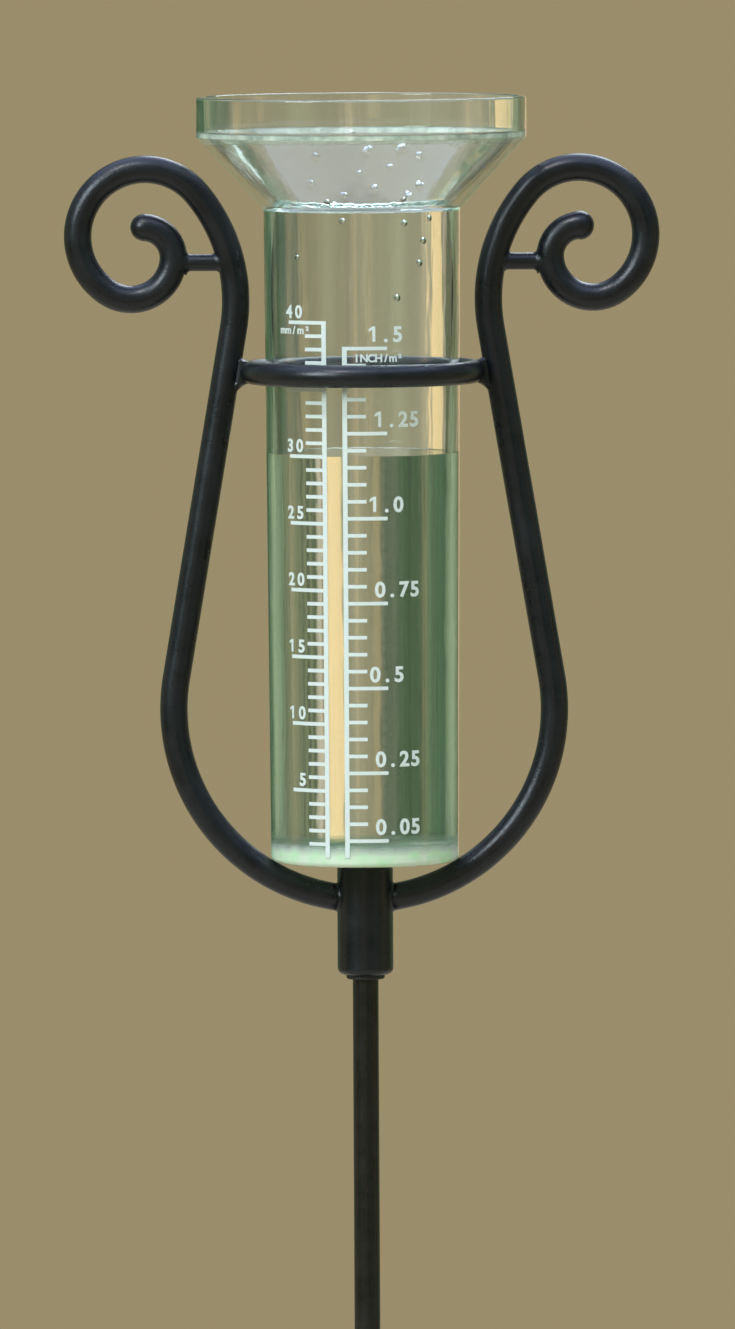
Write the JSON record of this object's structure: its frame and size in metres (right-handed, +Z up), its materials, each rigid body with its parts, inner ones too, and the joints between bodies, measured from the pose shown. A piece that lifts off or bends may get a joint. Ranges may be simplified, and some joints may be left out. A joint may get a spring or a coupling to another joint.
{
  "type": "manual rain gauge",
  "caption": "Clear graduated tube with a wide funnel mouth, resting in a black scrolled holder with a retaining ring on a pointed garden stake.",
  "frame": {"origin": "the stake's axis at soil level", "axes": "+Z up along the stake, X along the holder's scrolls, the printed scales face -Y"},
  "size_m": [0.1426, 0.079, 0.5033],
  "materials": {
    "clear_plastic": "clear, faintly green, polished",
    "water": "clear rain water",
    "white_ink": "pale screen-printed ink",
    "black_coating": "satin black powder coat on steel",
    "black_plastic": "matt black nylon",
    "rod_coating": "satin black coat, slightly mottled"
  },
  "bodies": {
    "stake": {"stake_rod": "rod_coating"},
    "bush": {"rod_bush": "black_plastic"},
    "holder": {"tube_seat": "black_coating", "socket_sleeve": "black_coating", "retaining_ring": "black_coating", "left_scroll_arm": "black_coating", "right_scroll_arm": "black_coating", "left_tie_bar": "black_coating", "right_tie_bar": "black_coating", "left_tie_inner_weld": "black_coating", "right_tie_inner_weld": "black_coating", "left_tie_outer_weld": "black_coating", "right_tie_outer_weld": "black_coating", "left_ring_weld": "black_coating", "right_ring_weld": "black_coating", "left_socket_weld": "black_coating", "right_socket_weld": "black_coating"},
    "gauge": {"gauge_tube": "clear_plastic", "rain_water": "water", "mm_scale": "white_ink", "inch_scale": "white_ink"}
  },
  "joints": [
    {"name": "holder_lift", "type": "slide", "parent": "stake", "child": "bush", "axis": [0, 0, 1], "range_m": [0, 0.03]},
    {"name": "holder_swivel", "type": "hinge", "parent": "bush", "child": "holder", "pos_m": [0, 0, 0.19], "axis": [0, 0, 1], "continuous": true},
    {"name": "gauge_lift", "type": "slide", "parent": "holder", "child": "gauge", "axis": [0, 0, 1], "range_m": [0, 0.175]}
  ]
}
